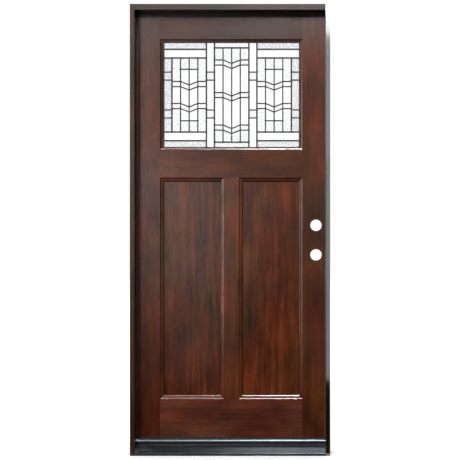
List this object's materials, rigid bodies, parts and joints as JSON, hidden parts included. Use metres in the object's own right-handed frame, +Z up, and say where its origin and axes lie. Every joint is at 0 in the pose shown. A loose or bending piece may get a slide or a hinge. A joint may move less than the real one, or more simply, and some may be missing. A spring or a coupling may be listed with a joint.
{
  "type": "front door",
  "caption": "Pre-hung front door in the arts and crafts style: stained timber leaf with a leaded light over two flat panels, hung on butt hinges in a rabbeted frame with a threshold.",
  "frame": {"origin": "middle of the threshold's flat underside, on the centre plane of the door opening and of the jamb depth", "axes": "+Z up along the door's height, -Y outdoors, +Y indoors, +X towards the lock jamb seen from outdoors with the hinges at -X"},
  "size_m": [0.929, 0.1292, 2.095],
  "materials": {
    "leaf_timber": "red-brown mahogany stain, satin",
    "panel_timber": "red-brown mahogany stain, satin",
    "jamb_timber": "brown mahogany stain, satin",
    "clear_glass": "clear",
    "came_metal": "blackened patina",
    "spacer_metal": "dark anodised",
    "deck_metal": "black anodised, satin",
    "threshold_cap": "black, glossy",
    "sill_composite": "black composite, matt",
    "weatherstrip": "black, matt",
    "hinge_metal": "dark bronze"
  },
  "bodies": {
    "door_frame": {"hinge_jamb": "jamb_timber", "lock_jamb": "jamb_timber", "head_jamb": "jamb_timber", "sill_base": "sill_composite", "sill_deck": "deck_metal", "sill_cap": "threshold_cap", "hinge_side_weatherstrip": "weatherstrip", "lock_side_weatherstrip": "weatherstrip", "head_weatherstrip": "weatherstrip", "hinge_frame_leaf_1": "hinge_metal", "hinge_frame_leaf_2": "hinge_metal", "hinge_frame_leaf_3": "hinge_metal", "hinge_pin_1": "hinge_metal", "hinge_pin_2": "hinge_metal", "hinge_pin_3": "hinge_metal"},
    "door_leaf": {"hinge_stile": "leaf_timber", "lock_stile": "leaf_timber", "top_rail": "leaf_timber", "lock_rail": "leaf_timber", "bottom_rail": "leaf_timber", "mullion": "leaf_timber", "left_panel": "panel_timber", "right_panel": "panel_timber", "glazing_stop_top": "leaf_timber", "glazing_stop_bottom": "leaf_timber", "glazing_stop_left": "leaf_timber", "glazing_stop_right": "leaf_timber", "outer_pane": "clear_glass", "inner_pane": "clear_glass", "outer_spacer": "spacer_metal", "inner_spacer": "spacer_metal", "leaded_came": "came_metal", "door_sweep": "weatherstrip", "hinge_door_leaf_1": "hinge_metal", "hinge_door_leaf_2": "hinge_metal", "hinge_door_leaf_3": "hinge_metal"}
  },
  "joints": [
    {"name": "door_swing", "type": "hinge", "parent": "door_frame", "child": "door_leaf", "pos_m": [-0.451, 0.0649, 0], "axis": [0, 0, 1], "range_deg": [0, 180]}
  ]
}
